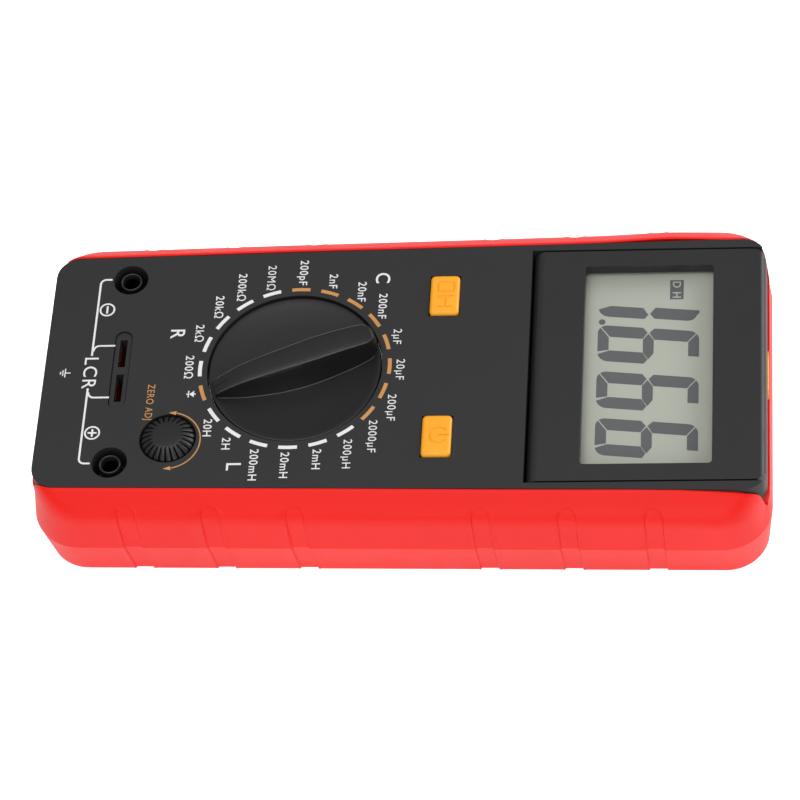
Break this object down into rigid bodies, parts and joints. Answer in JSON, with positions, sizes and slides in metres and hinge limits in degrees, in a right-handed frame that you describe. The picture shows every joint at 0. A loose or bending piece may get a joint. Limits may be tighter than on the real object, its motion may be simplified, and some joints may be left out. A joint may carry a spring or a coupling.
{
  "type": "lcr meter",
  "caption": "Handheld component meter in a rubber boot, with a rotary range knob, zero adjuster, push buttons, test jacks and a flip-up display head.",
  "frame": {"origin": "centre of the back face that rests on the bench", "axes": "+X right across the panel, +Y towards the display end, +Z out of the front panel"},
  "size_m": [0.0902, 0.1896, 0.0415],
  "materials": {
    "boot_rubber": "satin red elastomer",
    "case_plastic": "fine spark texture",
    "head_plastic": "fine spark texture",
    "knob_plastic": "satin",
    "button_plastic": "satin",
    "latch_plastic": "satin",
    "window_clear": "clear",
    "display_face": "satin",
    "socket_brass": "polished",
    "contact_metal": "tarnished",
    "steel": "plated",
    "board_laminate": "solder mask",
    "component_body": "moulded",
    "rotor_nylon": "natural nylon",
    "battery_jacket": "printed jacket",
    "wire_sleeve": "soft sleeve",
    "ribbon": "flat cable",
    "zebra_rubber": "striped elastomer"
  },
  "bodies": {
    "case": {"rubber_boot": "boot_rubber", "front_case": "case_plastic", "rear_case": "case_plastic", "main_board": "board_laminate", "board_parts": "component_body", "jack_sleeves": "knob_plastic", "jack_sockets": "socket_brass", "slot_insert": "knob_plastic", "slot_contacts": "contact_metal", "case_screws": "steel", "board_screws": "steel", "push_switches": "component_body", "pot_body": "component_body", "battery": "battery_jacket", "battery_snap": "component_body", "battery_leads": "wire_sleeve", "battery_cover": "case_plastic", "cover_screw": "steel", "hinge_pins": "steel", "board_cable": "ribbon"},
    "dial": {"selector_knob": "knob_plastic", "contact_rotor": "rotor_nylon", "contact_wipers": "socket_brass", "detent_balls": "steel", "detent_springs": "steel", "rotor_clip": "steel"},
    "zero_adjust": {"zero_knob": "knob_plastic", "pot_shaft": "steel"},
    "hold": {"hold_button": "button_plastic", "hold_plunger": "rotor_nylon"},
    "power": {"power_button": "button_plastic", "power_plunger": "rotor_nylon"},
    "head": {"head_shell": "head_plastic", "head_back": "head_plastic", "window_lens": "window_clear", "lcd_glass": "display_face", "lcd_board": "board_laminate", "zebra_strips": "zebra_rubber", "head_screws": "steel", "latch_spring": "steel", "head_cable": "ribbon"},
    "latch": {"latch_button": "latch_plastic"},
    "stand": {"tilt_stand": "case_plastic"}
  },
  "joints": [
    {"name": "head_hinge", "type": "hinge", "parent": "case", "child": "head", "pos_m": [0, 0.0367, 0.0318], "axis": [1, 0, 0], "range_deg": [0, 60]},
    {"name": "latch_press", "type": "slide", "parent": "head", "child": "latch", "axis": [0, -1, 0], "range_m": [0, 0.0012], "stiffness_N_per_m": 400},
    {"name": "dial_turn", "type": "hinge", "parent": "case", "child": "dial", "pos_m": [0, -0.027, 0.035], "axis": [0, 0, 1], "continuous": true},
    {"name": "zero_turn", "type": "hinge", "parent": "case", "child": "zero_adjust", "pos_m": [0.0214, -0.0581, 0.035], "axis": [0, 0, 1], "range_deg": [-140, 140]},
    {"name": "hold_press", "type": "slide", "parent": "case", "child": "hold", "axis": [0, 0, -1], "range_m": [0, 0.0012], "stiffness_N_per_m": 600},
    {"name": "power_press", "type": "slide", "parent": "case", "child": "power", "axis": [0, 0, -1], "range_m": [0, 0.0012], "stiffness_N_per_m": 600},
    {"name": "stand_fold", "type": "hinge", "parent": "case", "child": "stand", "pos_m": [0, 0.0715, 0.00275], "axis": [1, 0, 0], "range_deg": [0, 60]}
  ]
}
